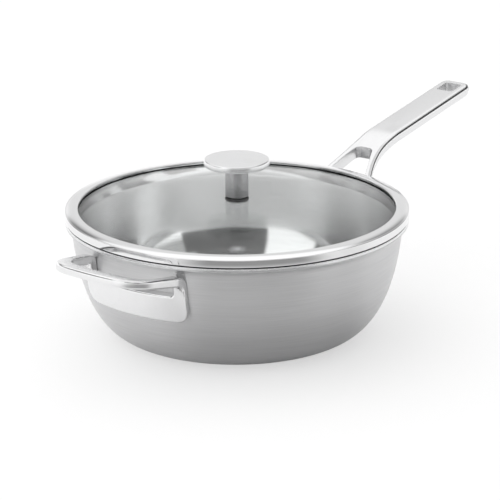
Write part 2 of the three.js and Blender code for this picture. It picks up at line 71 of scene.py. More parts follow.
HANDLE_LENGTH = 176  # wall to tip
HANDLE_SLOPE = math.radians(9.9)  # above level along the grip
HANDLE_DROP = 14.4  # top of the lip to the handle's top face at the wall
HANDLE_WIDTH = 28.6
HANDLE_THICKNESS = 8.4
GRIP_DRAFT = 0.8  # what each side draws in towards the underside
LEG_DRAFT = 3  # the same at the wall
TIP_CORNER = 8  # plan radius of the tip's corners
NECK_LENGTH = 69.2  # wall to where the grip runs straight
NECK_RISE = 26.3  # what the neck climbs above the grip's slope
FORK_LENGTH = 53.6  # wall to where the sides start to spread
FORK_SPREAD = 20  # what each side gains at the wall
FORK_GAP_LENGTH = 41.8  # wall to the end of the opening between the legs
FORK_GAP_TIP = 14.6  # opening width at its narrow end
FORK_GAP_ROOT = 48  # opening width at the wall
FORK_GAP_CORNER = 3.5
ROOT_SINK = 16  # how far the raw legs run into the wall before they are cut off
FORK_PLATE_WIDTH = 92
FORK_PLATE_DROP = 21.5  # top of the lip to the plate's upper edge
FORK_PLATE_CORNER = 4  # radius of the upper corners
HANG_HOLE_LENGTH = 15.4
HANG_HOLE_WIDTH = 15
HANG_HOLE_MARGIN = 6.2  # hole to tip
HANG_HOLE_CORNER = 2.2

LOOP_REACH = 47  # wall to the outside of the bar
LOOP_WIDTH = 91  # over both arms at the wall
LOOP_TILT = math.radians(9.8)  # above level
LOOP_DROP = 7.35  # top of the lip to the arms' top face at the wall
LOOP_THICKNESS = 7.3  # plate and arms
BAR_THICKNESS = 6
LOOP_EDGE = 1.7  # edge radius of the section
LOOP_BEND = 8.4  # middle radius of the bend from arm to plate
LOOP_CORNER = 19  # outside corners
FINGER_CORNER = 12  # inside corners
ARM_WIDTH = 7.7
ARM_LEAN = math.radians(5.2)  # of each arm towards the other
BAR_WIDTH = 13.4
BAR_BOW = 5  # how far the bar's middle stands out
NOTCH_DROP = 23  # top of the lip to the plate's edge between the arms
NOTCH_CORNER = 4

SEAT_GAP = 0.1  # above and below the seat ring
SEAT_RING = 0.9  # thickness
RIM_OVERHANG = 0.3  # rim beyond the lip
RIM_WIDTH = 10  # seen from above
RIM_SHEET = 1
RIM_FLANGE = 1.2  # ledge under the glass
RIM_BEAD = 3.5  # rolled outer edge
RIM_EDGE = 0.5
SKIRT_DEPTH = 8  # how far the rim reaches down into the pan
SKIRT_CLEARANCE = 1.2  # skirt to the pan's inner wall
RING_PLAY = 0.6  # skirt to the seat ring
GASKET = 0.45  # over and under the glass edge
GASKET_WEB = 0.8  # round the glass edge
GASKET_INSET = 0.8  # hidden behind the rim's inner edge
GLASS_THICKNESS = 4
GLASS_DOME = 8.3
GLASS_FLANGE = 6.7  # flat edge outside the dome
GLASS_HOLE = 5  # radius

KNOB_HEIGHT = 28.85  # glass to the top of the cap
KNOB_RADIUS = 24.65
KNOB_CAP = 4.8  # thickness
KNOB_CAP_EDGE = 1.1
STEM_RADIUS = 8.7
SPIGOT_RADIUS = 5
SPIGOT_HEIGHT = 2
SPIGOT_PLAY = 0.1
WASHER_THICKNESS = 0.8  # silicone, below the glass
WASHER_OVERHANG = 0.5  # beyond the stem
SCREW_RADIUS = 2.5
SCREW_PLAY = 0.15
SCREW_GRIP = 11  # length inside the stem
SCREW_HEAD_RADIUS = 5
SCREW_HEAD = 3
BUSH_PLAY = 0.1  # bush to glass
STEEL_WASHER_RADIUS = 8
STEEL_WASHER = 1

# Sizes that the solids have plainer or leave out
LIP_FLARE = math.radians(84)  # from upright at the lip's edge, so that the cut edge faces outward
HANDLE_EDGE = 3.4  # upper edge radius of the grip
UNDERSIDE_ROUND = 0.5  # lower edge radius of a handle or plate, as a share of the upper one
SEAT_RING_INSET = 1.8  # rim to the ring's outside
RIM_RISE = 1.5  # inner edge above the outer edge
CROWN_SWELL = 0.75  # share of the rim's rise reached halfway in
GLASS_EDGE = 2.75  # thickness of the flat edge
STEM_EDGE = 0.25
STEM_GAP = 0.3  # glass to stem, filled by the upper washer
UPPER_WASHER_INSET = 1.5  # stem to the upper washer's outside

# Edge roundings that the solids leave off
SHEET_ROUND = 0.2
SKIRT_ROUND = 0.3
FORK_ROUND = 0.35  # at the hanging hole too
PLATE_ROUND = 1.2
SMALL_ROUND = 0.15
CURL_ROUND = 0.7  # at the rim's inner edge
SCREW_HEAD_ROUND = 0.6
SUNK_TAPER = 6  # over which the long handle's roundings start, inside the wall

# Fineness of the meshes
TURNS = 288
SMALL_TURNS = 96
WALL_STEPS = 56
LIP_STEPS = 16
DOME_STEPS = 48
CROWN_STEPS = 16
ROUND_STEPS = 5
CORNER_STEPS = 8  # at a corner of the long handle's openings and plate
TIP_STEPS = 12
LEG_POINTS = 30  # along the inside of each leg of the fork
OUTLINE_STEP = 1.5  # along the outside of the long handle
GRID = 2.2  # across a flat face
NOTCH_STEPS = 16
FOOT_STEPS = 12
ARM_STEPS = 48
LOOP_CORNER_STEPS = 20
BAR_STEPS = 14
SHARP_EDGE = math.radians(35)  # smallest turn of a surface that is shaded as an edge
ON_AXIS = 1e-9  # radius below which a ring of points is one point
MERGE = 1e-7  # distance at which two points of a flat face are one

core_from = OUTER_LAYER + BOND
core_to = core_from + CORE_LAYER
inner_from = core_to + BOND
pan_wall = inner_from + INNER_LAYER
wall_top = PAN_HEIGHT - LIP_DEPTH
lip_radius = WALL_RADIUS + LIP_WIDTH


def lerp(a, b, share):
    return a + (b - a) * share


def smoothstep(value, low, high):
    share = np.clip((value - low) / (high - low), 0, 1)
    return share * share * (3 - 2 * share)


# Meshes

def mesh_object(name, verts, faces):
    mesh = bpy.data.meshes.new(name)
    mesh.from_pydata((np.asarray(verts, float) * MM).tolist(), [], faces)
    obj = bpy.data.objects.new(name, mesh)
    scene.collection.objects.link(obj)
    return obj


def lathe(name, profile, turns):
    """Turns a counter-clockwise (radius, height) outline about Z."""
    angles = np.arange(turns) * 2 * math.pi / turns
    circle = np.stack([np.cos(angles), np.sin(angles)], 1)
    verts, rings = [], []
    for radius, height in profile:
        start = len(verts)
        if radius < ON_AXIS:
            verts.append((0, 0, height))
            rings.append([start])
        else:
            verts += [(radius * c, radius * s, height) for c, s in circle]
            rings.append(list(range(start, start + turns)))
    open_ends = len(rings[0]) == 1 and len(rings[-1]) == 1
    faces = []
    for i in range(len(rings) - 1 if open_ends else len(rings)):
        low, high = rings[i], rings[(i + 1) % len(rings)]
        for j in range(turns):
            k = (j + 1) % turns
            if len(low) == 1:
                faces.append((low[0], high[k], high[j]))
            elif len(high) == 1:
                faces.append((low[j], low[k], high[0]))
            else:
                faces.append((low[j], low[k], high[k], high[j]))
    return mesh_object(name, verts, faces)


def softened(corners, steps=ROUND_STEPS):
    """Rounds each (x, y, radius) corner of a closed outline."""
    points = []
    for i, (x, y, radius) in enumerate(corners):
        here = np.array((x, y), float)
        if radius == 0:
            points.append(here)
            continue
        before = np.array(corners[i - 1][:2], float) - here
        after = np.array(corners[(i + 1) % len(corners)][:2], float) - here
        start = here + before / np.linalg.norm(before) * radius
        end = here + after / np.linalg.norm(after) * radius
        for step in range(steps + 1):
            t = step / steps
            points.append((1 - t) ** 2 * start + 2 * t * (1 - t) * here + t * t * end)
    return np.array(points)


def cubic(p0, p1, p2, p3, steps):
    t = np.linspace(0, 1, steps + 1)[:, None]
    s = 1 - t
    points = s ** 3 * p0 + 3 * s * s * t * p1 + 3 * s * t * t * p2 + t ** 3 * p3
    along = 3 * s * s * (p1 - p0) + 6 * s * t * (p2 - p1) + 3 * t * t * (p3 - p2)
    return points, along / np.linalg.norm(along, axis=1, keepdims=True)


def pan_curve():
    """Points and directions of the pan's outside, from the base's edge to the lip's edge."""
    taper = np.array((math.sin(WALL_TAPER), math.cos(WALL_TAPER)))
    flare = np.array((math.sin(LIP_FLARE), math.cos(LIP_FLARE)))
    base = np.array((BASE_RADIUS, 0.0))
    wall_end = np.array((WALL_RADIUS, wall_top))
    lip_end = np.array((lip_radius, PAN_HEIGHT - pan_wall * flare[0]))
    wall = cubic(base, base + (BASE_CURVE, 0), wall_end - WALL_CURVE * taper, wall_end, WALL_STEPS)
    lip = cubic(wall_end, wall_end + LIP_BEND * taper, lip_end - LIP_BEND * flare, lip_end, LIP_STEPS)
    return np.concatenate([wall[0], lip[0][1:]]), np.concatenate([wall[1], lip[1][1:]])


curve_points, curve_along = pan_curve()
curve_inward = np.stack([-curve_along[:, 1], curve_along[:, 0]], 1)


def pan_offset(depth):
    return curve_points + depth * curve_inward


def wall_radius(height, outside=0.0):
    """Radius of the pan's outside, grown by a distance, at a height."""
    grown = pan_offset(-outside)
    return np.interp(height, grown[:, 1], grown[:, 0])


def pan_layer(name, depth_from, depth_to):
    outside = pan_offset(depth_from)
    inside = pan_offset(depth_to)[::-1]
    ends = softened(
        [(*outside[-2], 0), (*outside[-1], SHEET_ROUND), (*inside[0], SHEET_ROUND), (*inside[1], 0)]
    )
    base = [(0, depth_from), (BASE_RADIUS / 2, depth_from)]
    top = [(BASE_RADIUS / 2, depth_to), (0, depth_to)]
    return lathe(name, [*base, *outside[:-2], *ends, *inside[2:], *top], TURNS)


def pan_envelope(growth):
    grown = pan_offset(-growth)
    return lathe("envelope", [(0, -growth), *grown, (0, grown[-1][1])], TURNS)


def combined(name, start, steps):
    """Applies (operation, tool) booleans to an object and deletes the tools."""
    for operation, tool in steps:
        modifier = start.modifiers.new(operation, "BOOLEAN")
        modifier.operation = operation
        modifier.solver = "MANIFOLD"
        modifier.object = tool
    graph = bpy.context.evaluated_depsgraph_get()
    mesh = bpy.data.meshes.new_from_object(start.evaluated_get(graph))
    for obj in [start, *[tool for _, tool in steps]]:
        old = obj.data
        bpy.data.objects.remove(obj)
        bpy.data.meshes.remove(old)
    mesh.name = name
    obj = bpy.data.objects.new(name, mesh)
    scene.collection.objects.link(obj)
    return obj


def inside_outline(points, outline):
    x, y = points[:, 0], points[:, 1]
    hits = np.zeros(len(points), int)
    for (x0, y0), (x1, y1) in zip(outline, np.roll(outline, -1, 0)):
        crosses = (y0 > y) != (y1 > y)
        if y0 != y1:
            hits += crosses & (x < x0 + (y - y0) / (y1 - y0) * (x1 - x0))
    return hits % 2 == 1


def outline_inward(outline):
    """Inward direction at each point of a counter-clockwise outline."""
    ahead = np.roll(outline, -1, 0) - outline
    behind = outline - np.roll(outline, 1, 0)
    ahead /= np.linalg.norm(ahead, axis=1, keepdims=True)
    behind /= np.linalg.norm(behind, axis=1, keepdims=True)
    along = ahead + behind
    along /= np.linalg.norm(along, axis=1, keepdims=True)
    return np.stack([-along[:, 1], along[:, 0]], 1)


def slab(name, outlines, grid, place):
    """Closed slab with rounded edges. Each outline is (points, edge radius, draft), the outer one
    counter-clockwise and holes clockwise; place(points, depth, from_top) puts it in space."""
    verts, faces = [], []
    caps = {True: [], False: []}
    turn = np.linspace(0, math.pi / 2, ROUND_STEPS + 1)
    for points, radius, draft in outlines:
        inward = outline_inward(points)
        radius = np.broadcast_to(radius, len(points))
        draft = np.broadcast_to(draft, len(points))
        rings = []
        for top in (True, False):
            for angle in turn if top else turn[::-1]:
                edge = radius if top else radius * UNDERSIDE_ROUND
                inset = edge * (1 - math.sin(angle)) + (0 if top else draft)
                depth = edge * (1 - math.cos(angle))
                flat = points + inward * inset[:, None]
                rings.append(list(range(len(verts), len(verts) + len(points))))
                verts += list(place(flat, depth, top))
                if angle == 0:
                    caps[top].append((flat, rings[-1]))
        for low, high in zip(rings[1:], rings):
            for j in range(len(low)):
                k = (j + 1) % len(low)
                faces.append((low[j], low[k], high[k], high[j]))
    for top, loops in caps.items():
        flat = np.concatenate([loop for loop, _ in loops])
        index = [i for _, ring in loops for i in ring]
        edges, start = [], 0
        for loop, _ in loops:
            edges += [(start + j, start + (j + 1) % len(loop)) for j in range(len(loop))]
            start += len(loop)
        inner = grid[inside_outline(grid, loops[0][0])]
        for loop, _ in loops[1:]:
            inner = inner[~inside_outline(inner, loop)]
        gaps = np.linalg.norm(inner[:, None] - flat[None], axis=2).min(1)
        inner = inner[gaps > GRID / 2]
        index += list(range(len(verts), len(verts) + len(inner)))
        verts += list(place(inner, 0, top))
        flat = np.concatenate([flat, inner])
        result = delaunay_2d_cdt([Vector(p) for p in flat], edges, [], 0, MERGE)
        origin = [ids[0] for ids in result[3]]
        triangles = np.array([[origin[i] for i in face] for face in result[2]])
        middles = flat[triangles].mean(1)
        kept = inside_outline(middles, loops[0][0])
        for loop, _ in loops[1:]:
            kept &= ~inside_outline(middles, loop)
        for a, b, c in triangles[kept]:
            faces.append((index[a], index[b], index[c]) if top else (index[c], index[b], index[a]))
    return mesh_object(name, verts, faces)


# Long handle

handle_tip = WALL_RADIUS + HANDLE_LENGTH
hole_far = handle_tip - HANG_HOLE_MARGIN
hole_near = hole_far - HANG_HOLE_LENGTH
hole_half = HANG_HOLE_WIDTH / 2


def handle_top(x):
    from_wall = x - WALL_RADIUS
    neck_left = np.maximum(0, 1 - from_wall / NECK_LENGTH)
    grip = PAN_HEIGHT - HANDLE_DROP + from_wall * math.tan(HANDLE_SLOPE)
    return grip + NECK_RISE * (1 - neck_left ** 2)


def handle_height(x):
    rise = math.tan(HANDLE_SLOPE) + 2 * NECK_RISE / NECK_LENGTH * np.maximum(
        0, 1 - (x - WALL_RADIUS) / NECK_LENGTH
    )
    return HANDLE_THICKNESS * np.sqrt(1 + rise ** 2)


def handle_half_width(x):
    from_wall = x - WALL_RADIUS
    spread = FORK_SPREAD * np.maximum(0, 1 - from_wall / FORK_LENGTH) ** 2
    into_tip = np.clip(from_wall - (HANDLE_LENGTH - TIP_CORNER), 0, TIP_CORNER)
    return HANDLE_WIDTH / 2 + spread - (TIP_CORNER - np.sqrt(TIP_CORNER ** 2 - into_tip ** 2))


def place_on_handle(points, depth, from_top):
    x = points[:, 0]
    top = handle_top(x)
    z = top - depth if from_top else top - handle_height(x) + depth
    return np.stack([x, points[:, 1], z], 1)


def spaced(start, end, step):
    count = max(2, int(math.ceil(abs(end - start) / step)) + 1)
    return np.linspace(start, end, count)


def long_handle(name):
    root = WALL_RADIUS - ROOT_SINK
    tip_start = handle_tip - TIP_CORNER
    tip_turn = np.linspace(0, math.pi / 2, TIP_STEPS + 1)[1:]
    tip_x = tip_start + TIP_CORNER * np.sin(tip_turn)
    x = np.concatenate([spaced(root, tip_start, OUTLINE_STEP), tip_x])
    half = handle_half_width(x)
    side = np.stack([x, -half], 1)
    other_side = np.stack([x, half], 1)[::-1]
    end_y = spaced(-half[-1], half[-1], OUTLINE_STEP)[1:-1]
    end = np.stack([np.full(len(end_y), handle_tip), end_y], 1)
    gap_end = WALL_RADIUS + FORK_GAP_LENGTH
    widening = (FORK_GAP_ROOT - FORK_GAP_TIP) / FORK_GAP_LENGTH / 2
    root_half = FORK_GAP_TIP / 2 + widening * (gap_end - root)
    fork = softened(
        [
            (root, root_half, 0),
            (gap_end, FORK_GAP_TIP / 2, FORK_GAP_CORNER),
            (gap_end, -FORK_GAP_TIP / 2, FORK_GAP_CORNER),
            (root, -root_half, 0),
        ],
        CORNER_STEPS,
    )
    fork = np.concatenate(
        [
            np.linspace(fork[0], fork[1], LEG_POINTS)[:-1],
            fork[1:-2],
            np.linspace(fork[-2], fork[-1], LEG_POINTS),
        ]
    )
    outer = np.concatenate([side, end, other_side, fork])
    draft = lerp(GRIP_DRAFT, LEG_DRAFT, np.clip(1 - (outer[:, 0] - WALL_RADIUS) / FORK_LENGTH, 0, 1))
    radius = np.full(len(outer), float(HANDLE_EDGE))
    draft[-len(fork):] = 0
    radius[-len(fork):] = FORK_ROUND
    sunk = np.clip((outer[:, 0] - root) / SUNK_TAPER, 0, 1)
    draft *= sunk
    radius *= sunk
    hole = softened(
        [
            (hole_near, -hole_half, HANG_HOLE_CORNER),
            (hole_near, hole_half, HANG_HOLE_CORNER),
            (hole_far, hole_half, HANG_HOLE_CORNER),
            (hole_far, -hole_half, HANG_HOLE_CORNER),
        ],
        CORNER_STEPS,
    )
    grid_x, grid_y = np.meshgrid(spaced(root + GRID, handle_tip, GRID), spaced(-half[0], half[0], GRID))
    grid = np.stack([grid_x.ravel(), grid_y.ravel()], 1)
    bar = slab("bar", [(outer, radius, draft), (hole, FORK_ROUND, 0)], grid, place_on_handle)
    plate_half = FORK_PLATE_WIDTH / 2
    low, high = PAN_HEIGHT - PLATE_DROP, PAN_HEIGHT - FORK_PLATE_DROP
    outline = softened(
        [
            (-plate_half, low, PLATE_CORNER),
            (plate_half, low, PLATE_CORNER),
            (plate_half, high, FORK_PLATE_CORNER),
            (-plate_half, high, FORK_PLATE_CORNER),
        ],
        CORNER_STEPS,
    )
    grid_y, grid_z = np.meshgrid(spaced(-plate_half, plate_half, GRID), spaced(low, high, GRID))
    grid = np.stack([grid_y.ravel(), grid_z.ravel()], 1)

    def place_on_wall(points, depth, from_top):
        out = WELD_GAP + PLATE_THICKNESS if from_top else -PLATE_THICKNESS
        depth = np.broadcast_to(depth if from_top else -depth, len(points))
        radii = np.array([wall_radius(z, out - d) for (_, z), d in zip(points, depth)])
        return np.stack([np.sqrt(radii ** 2 - points[:, 0] ** 2), points[:, 0], points[:, 1]], 1)

    plate = slab("plate", [(outline, PLATE_ROUND, 0)], grid, place_on_wall)
    return combined(name, bar, [("UNION", plate), ("DIFFERENCE", pan_envelope(WELD_GAP))])


# Helper handle: drawn flat as (across, along) and bent

bend_angle = math.pi / 2 - LOOP_TILT
bend_length = LOOP_BEND * bend_angle
bar_depth = WELD_GAP + PLATE_THICKNESS - LOOP_THICKNESS / 2
arm_middle = (LOOP_WIDTH - ARM_WIDTH) / 2


def bar_reach(height, across):
    return np.sqrt((wall_radius(height) + bar_depth) ** 2 - across ** 2)


arm_height = PAN_HEIGHT - LOOP_DROP - LOOP_THICKNESS / 2 / math.cos(LOOP_TILT)
bend_end_x = float(bar_reach(arm_height, arm_middle)) + LOOP_BEND * (1 - math.cos(bend_angle))
bend_end_z = arm_height + (bend_end_x - WALL_RADIUS) * math.tan(LOOP_TILT)
bend_start_z = bend_end_z - LOOP_BEND * math.sin(bend_angle)


def along_at_x(x):
    return bend_length + (x - bend_end_x) / math.cos(LOOP_TILT)


def bent(point):
    across, along = point
    turn = min(max(along / LOOP_BEND, 0), bend_angle)
    out = max(along - bend_length, 0)
    height = bend_start_z + min(along, 0)
    flattened = lerp(abs(across), arm_middle, smoothstep(turn, 0, bend_angle))
    return np.array(
        (
            bar_reach(height, flattened) + LOOP_BEND * (1 - math.cos(turn)) + out * math.cos(LOOP_TILT),
            across,
            height + LOOP_BEND * math.sin(turn) + out * math.sin(LOOP_TILT),
        )
    )


def quadratic(p0, p1, p2, share):
    return (1 - share) ** 2 * p0 + 2 * share * (1 - share) * p1 + share ** 2 * p2


def half_outline(half, low, high, foot, corner):
    """One half of the loop's outer or inner edge, drawn flat, from its lower middle to its upper one."""
    lean = math.tan(ARM_LEAN)

    def side_at(along):
        return half - lean * max(0, along - bend_length)

    corner_along = high - BAR_BOW
    corner_across = side_at(corner_along)
    side_end = corner_along - corner
    front_start = corner_across - corner

    def front_at(across):
        return np.array((across, high - BAR_BOW * (across / corner_across) ** 2))

    foot_points = [np.array(p) for p in ((half - foot, low), (half, low), (half, low + foot))]
    corner_points = [
        np.array((side_at(side_end), side_end)),
        np.array((corner_across, corner_along)),
        front_at(front_start),
    ]

    def shares(steps):
        return [i / steps for i in range(steps)]

    sides = [lerp(low + foot, side_end, share) for share in shares(ARM_STEPS)]
    return [
        *[np.array(((half - foot) * share, low)) for share in shares(NOTCH_STEPS)],
        *[quadratic(*foot_points, share) for share in shares(FOOT_STEPS)],
        *[np.array((side_at(along), along)) for along in sides],
        *[quadratic(*corner_points, share) for share in shares(LOOP_CORNER_STEPS)],
        *[front_at(front_start * (1 - share)) for share in shares(BAR_STEPS)],
        front_at(0),
    ]


def rounded_section(width, height, radius):
    r = min(radius, width / 2, height / 2)
    points = []
    for corner, (u, v) in enumerate(((1, 1), (-1, 1), (-1, -1), (1, -1))):
        for step in range(ROUND_STEPS + 2):
            angle = math.pi / 2 * (corner + step / (ROUND_STEPS + 1))
            points.append(
                (u * (width / 2 - r) + r * math.cos(angle), v * (height / 2 - r) + r * math.sin(angle))
            )
    return points


def bar_ring(inside, outside):
    nudge = 0.01
    middle = (inside + outside) / 2
    point = bent(middle)
    across = bent(middle + (nudge, 0)) - point
    along = bent(middle + (0, nudge)) - point
    up = np.cross(along, across)
    up /= np.linalg.norm(up)
    side = bent(outside) - bent(inside)
    width = np.linalg.norm(side)
    side /= width
    bar_share = smoothstep(middle[1], bend_length, along_at_x(WALL_RADIUS + LOOP_REACH - BAR_WIDTH))
    thickness = lerp(LOOP_THICKNESS, BAR_THICKNESS, bar_share)
    return [point + side * u + up * v for u, v in rounded_section(width, thickness, LOOP_EDGE)]


def helper_handle(name):
    half = LOOP_WIDTH / 2
    bar_outside = WALL_RADIUS + LOOP_REACH
    outside = half_outline(
        half, PAN_HEIGHT - PLATE_DROP - bend_start_z, along_at_x(bar_outside), PLATE_CORNER, LOOP_CORNER
    )
    inside = half_outline(
        half - ARM_WIDTH,
        PAN_HEIGHT - NOTCH_DROP - bend_start_z,
        along_at_x(bar_outside - BAR_WIDTH),
        NOTCH_CORNER,
        FINGER_CORNER,
    )
    mirror = np.array((-1, 1))
    rings = [bar_ring(a, b) for a, b in zip(inside, outside)]
    far = [bar_ring(a * mirror, b * mirror) for a, b in zip(inside, outside)]
    rings += far[-2:0:-1]
    count = len(rings[0])
    verts = np.concatenate(rings) * (-1, -1, 1)
    faces = []
    for i in range(len(rings)):
        here, there = i * count, (i + 1) % len(rings) * count
        for j in range(count):
            k = (j + 1) % count
            faces.append((here + j, here + k, there + k, there + j))
    return combined(name, mesh_object("loop", verts, faces), [("DIFFERENCE", pan_envelope(WELD_GAP))])


# Lid and knob

ring_bottom = PAN_HEIGHT + SEAT_GAP
rim_bottom = ring_bottom + SEAT_RING + SEAT_GAP
channel_floor = rim_bottom + RIM_FLANGE
glass_bottom = channel_floor + GASKET
glass_top = glass_bottom + GLASS_THICKNESS
edge_top = glass_bottom + GLASS_EDGE
channel_top = edge_top + GASKET
rim_top = glass_top + GASKET + RIM_SHEET
rim_crease = rim_top - RIM_RISE
rim_radius = lip_radius + RIM_OVERHANG
rim_inner = rim_radius - RIM_WIDTH
channel_outer = rim_radius - RIM_BEAD
glass_radius = channel_outer - GASKET_WEB
dome_radius = glass_radius - GLASS_FLANGE
skirt_outer = WALL_RADIUS - pan_wall - SKIRT_CLEARANCE
skirt_inner = skirt_outer - RIM_SHEET
skirt_bottom = rim_bottom - SKIRT_DEPTH
washer_radius = STEM_RADIUS + WASHER_OVERHANG
dome_top = glass_top + GLASS_DOME
stem_bottom = dome_top + STEM_GAP
cap_top = dome_top + KNOB_HEIGHT
cap_bottom = cap_top - KNOB_CAP
lower_seat = glass_bottom + GLASS_DOME
steel_washer_top = lower_seat - WASHER_THICKNESS
head_top = steel_washer_top - STEEL_WASHER
screw_hole = SCREW_RADIUS + SCREW_PLAY


def lid_rim(name):
    crown_ends = [
        np.array((rim_radius - RIM_EDGE, rim_crease)),
        np.array((rim_radius - RIM_WIDTH / 2, lerp(rim_crease, rim_top, CROWN_SWELL))),
        np.array((rim_inner, rim_top)),
    ]
    crown = [quadratic(*crown_ends, i / CROWN_STEPS) for i in range(CROWN_STEPS + 1)]
    corners = [
        (skirt_inner, skirt_bottom, SKIRT_ROUND),
        (skirt_outer, skirt_bottom, SKIRT_ROUND),
        (skirt_outer, rim_bottom, 0),
        (rim_radius, rim_bottom, RIM_EDGE),
        (rim_radius, rim_crease, RIM_EDGE),
        *[(*point, 0) for point in crown[1:-1]],
        (rim_inner, rim_top, CURL_ROUND),
        (rim_inner, channel_top, SMALL_ROUND),
        (channel_outer, channel_top, 0),
        (channel_outer, channel_floor, 0),
        (skirt_inner, channel_floor, SHEET_ROUND),
    ]
    return lathe(name, softened(corners), TURNS)


def lid_gasket(name):
    inner = rim_inner + GASKET_INSET
    corners = [
        (inner, channel_floor),
        (channel_outer, channel_floor),
        (channel_outer, channel_top),
        (inner, channel_top),
        (inner, edge_top),
        (glass_radius, edge_top),
        (glass_radius, glass_bottom),
        (inner, glass_bottom),
    ]
    return lathe(name, softened([(*corner, SMALL_ROUND) for corner in corners]), TURNS)


def lid_glass(name):
    share = np.linspace(0, 1, DOME_STEPS + 1)
    radius = lerp(washer_radius, dome_radius, share)
    height = GLASS_DOME * (1 - share ** 2)
    under = [(GLASS_HOLE, glass_bottom + GLASS_DOME)]
    under += list(zip(radius, glass_bottom + height))
    under.append((glass_radius, glass_bottom))
    thinning = GLASS_THICKNESS - GLASS_EDGE
    upper = [(r, z + GLASS_THICKNESS - thinning * min(1, r / dome_radius) ** 2) for r, z in under]
    return lathe(name, under + upper[::-1], TURNS)


def seat_ring(name):
    inner = skirt_outer + RING_PLAY
    outer = rim_radius - SEAT_RING_INSET
    corners = [(inner, 0), (outer, 0), (outer, SEAT_RING), (inner, SEAT_RING)]
    return lathe(name, softened([(r, ring_bottom + z, SMALL_ROUND) for r, z in corners]), TURNS)


def washer(name, inner, outer, bottom, height):
    corners = [(inner, 0), (outer, 0), (outer, height), (inner, height)]
    return lathe(name, softened([(r, bottom + z, SMALL_ROUND) for r, z in corners]), SMALL_TURNS)


def knob_cap(name):
    socket = SPIGOT_RADIUS + SPIGOT_PLAY
    socket_top = cap_bottom + SPIGOT_HEIGHT + SPIGOT_PLAY
    corners = [
        (0, socket_top, 0),
        (socket, socket_top, SMALL_ROUND),
        (socket, cap_bottom, SMALL_ROUND),
        (KNOB_RADIUS, cap_bottom, KNOB_CAP_EDGE),
        (KNOB_RADIUS, cap_top, KNOB_CAP_EDGE),
        (0, cap_top, 0),
    ]
    return lathe(name, softened(corners), TURNS)


def knob_stem(name):
    hole_top = stem_bottom + SCREW_GRIP + SCREW_PLAY
    corners = [
        (0, hole_top, 0),
        (screw_hole, hole_top, SMALL_ROUND),
        (screw_hole, stem_bottom, SMALL_ROUND),
        (STEM_RADIUS, stem_bottom, STEM_EDGE),
        (STEM_RADIUS, cap_bottom, SMALL_ROUND),
        (SPIGOT_RADIUS, cap_bottom, 0),
        (SPIGOT_RADIUS, cap_bottom + SPIGOT_HEIGHT, SMALL_ROUND),
        (0, cap_bottom + SPIGOT_HEIGHT, 0),
    ]
    return lathe(name, softened(corners), SMALL_TURNS)


def knob_screw(name):
    head_bottom = head_top - SCREW_HEAD
    corners = [
        (0, head_bottom, 0),
        (SCREW_HEAD_RADIUS / 2, head_bottom, SCREW_HEAD_ROUND),
        (SCREW_HEAD_RADIUS, head_top - SCREW_HEAD / 2, SCREW_HEAD_ROUND),
        (SCREW_HEAD_RADIUS, head_top, SMALL_ROUND),
        (SCREW_RADIUS, head_top, 0),
        (SCREW_RADIUS, stem_bottom + SCREW_GRIP, SMALL_ROUND),
        (0, stem_bottom + SCREW_GRIP, 0),
    ]
    return lathe(name, softened(corners), SMALL_TURNS)


# Materials

LEVEL = (1.0, 1.0, 0.0)  # keeps the level part of a vector
NOISE_LOW, NOISE_HIGH = 0.3, 0.7  # noise values between which a material changes
# Brushing: how fast its fine lines and its broader bands change along their run
LINE_RUN = {"round": 3.0, "along": 12.0}
BAND_RUN = {"round": 1.5, "along": 6.0}
BAND_FINENESS = 0.12  # of the bands across their run, as a share of the lines' own
LINE_SHARE = 0.7  # of the lines in the pattern, with the bands as the rest
ROUGH_SPREAD = 0.12  # share by which the pattern changes the roughness
QUARTER_TURN = 0.25  # sets the sheen across the lines of a round brushing
LINE_BUMP = 0.06
BUMP_DEPTH = 0.0001
DULL_ROUGH = 0.38
DULL_FADE = 0.0005  # metres over which the dull part of a steel ends
SPECK_SCALE = 900
SPECK_LOW, SPECK_HIGH = 0.35, 0.65
SPECK_BUMP = 0.1
SILICONE_DARK = (0.012, 0.012, 0.013)
SILICONE_LIGHT = (0.03, 0.03, 0.032)
SILICONE_ROUGH = (0.5, 0.65)
GLASS_IOR = 1.18
GLASS_DARK = (0.97, 0.985, 0.98)
GLASS_LIGHT = (0.985, 0.995, 0.99)
GLASS_SHADOW = (0.92, 0.93, 0.925, 1)
HAZE_SCALE = 35
HAZE_LOW, HAZE_HIGH = 0.45, 0.75
HAZE_ROUGH = 0.006


